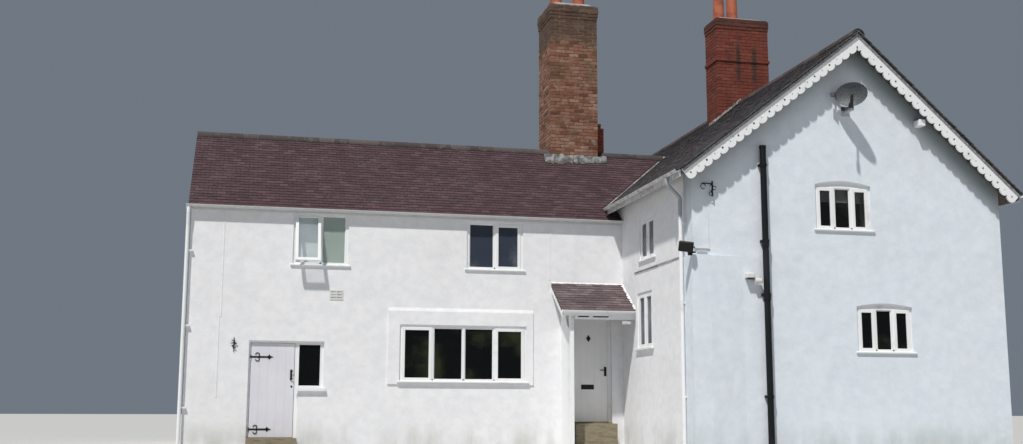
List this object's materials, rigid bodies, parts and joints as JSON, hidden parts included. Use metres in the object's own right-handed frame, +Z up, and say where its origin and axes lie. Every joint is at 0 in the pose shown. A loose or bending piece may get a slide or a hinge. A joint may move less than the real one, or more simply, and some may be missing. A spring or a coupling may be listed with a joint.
{
  "type": "farmhouse",
  "caption": "L-shaped rendered farmhouse with tiled roofs, brick chimneys, a gable with scalloped boards and a lean-to porch, hollow, with two ground-floor doors that swing.",
  "frame": {"origin": "middle of the building's box, at its lowest face", "axes": "+X along the front from the party wall towards the wing, +Y from front to back, +Z up"},
  "size_m": [14.9413, 11.2088, 10.33],
  "materials": {
    "render": "matt lime-washed render",
    "floor": "worn stone and concrete",
    "floorboards": "waxed boards",
    "main_tiles": "weathered plain clay tiles",
    "wing_tiles": "weathered plain clay tiles",
    "ridge_tiles": "weathered clay",
    "painted_wood": "white paint, satin",
    "gutters": "weathered white paint",
    "black_metal": "black paint",
    "weathered_brick": "old brown brick with lime mortar",
    "red_brick": "red brick with sooty stains",
    "clay_pots": "unglazed clay",
    "stone": "worn stone",
    "window_glass": "clear glass"
  },
  "bodies": {
    "house": {"front_wall_left": "render", "front_wall_right": "render", "wall_over_side_door": "render", "wall_over_front_door": "render", "front_wall_middle": "render", "front_wall_upper": "render", "upper_right_window": "painted_wood", "lower_window": "painted_wood", "upper_left_window": "painted_wood", "rear_wall": "render", "rear_glass_lower": "window_glass", "rear_glass_upper": "window_glass", "return_wall": "render", "return_upper_window": "painted_wood", "return_lower_window": "painted_wood", "gable_wall": "render", "gable_upper_window": "painted_wood", "gable_lower_window": "painted_wood", "satellite_dish": "black_metal", "wing_right_wall": "render", "right_glass_lower": "window_glass", "right_glass_upper": "window_glass", "rear_gable_wall": "render", "rear_gable_glass": "window_glass", "party_wall": "render", "wing_rear_left_wall": "render", "kitchen_floor": "floor", "hall_floor": "floor", "upper_floor": "floorboards", "main_roof_front": "main_tiles", "main_roof_rear": "main_tiles", "wing_roof_left": "wing_tiles", "wing_roof_right": "wing_tiles", "main_ridge_left": "ridge_tiles", "main_ridge_right": "ridge_tiles", "wing_ridge_front": "ridge_tiles", "wing_ridge_rear": "ridge_tiles", "bargeboard_left": "painted_wood", "bargeboard_right": "painted_wood", "rear_bargeboards": "painted_wood", "main_gutter_front": "gutters", "main_gutter_rear": "gutters", "wing_gutter_left": "gutters", "wing_gutter_right": "gutters", "downpipe_left": "gutters", "downpipe_corner": "gutters", "soil_pipe": "black_metal", "main_chimney": "weathered_brick", "main_chimney_pots": "clay_pots", "wing_chimney": "red_brick", "wing_chimney_pots": "clay_pots", "side_door_frame": "painted_wood", "side_door_step": "stone", "front_door_frame": "painted_wood", "front_door_step": "stone", "porch_roof": "main_tiles", "porch_boards": "painted_wood", "porch_post": "painted_wood"},
    "side_door_leaf": {"side_door": "painted_wood"},
    "front_door_leaf": {"front_door": "painted_wood"}
  },
  "joints": [
    {"name": "side_door_hinge", "type": "hinge", "parent": "house", "child": "side_door_leaf", "pos_m": [-6.1775, -1.1795, 1], "axis": [0, 0, -1], "range_deg": [0, 90]},
    {"name": "front_door_hinge", "type": "hinge", "parent": "house", "child": "front_door_leaf", "pos_m": [-0.0315, -1.0685, 1.4], "axis": [0, 0, 1], "range_deg": [0, 90]}
  ]
}
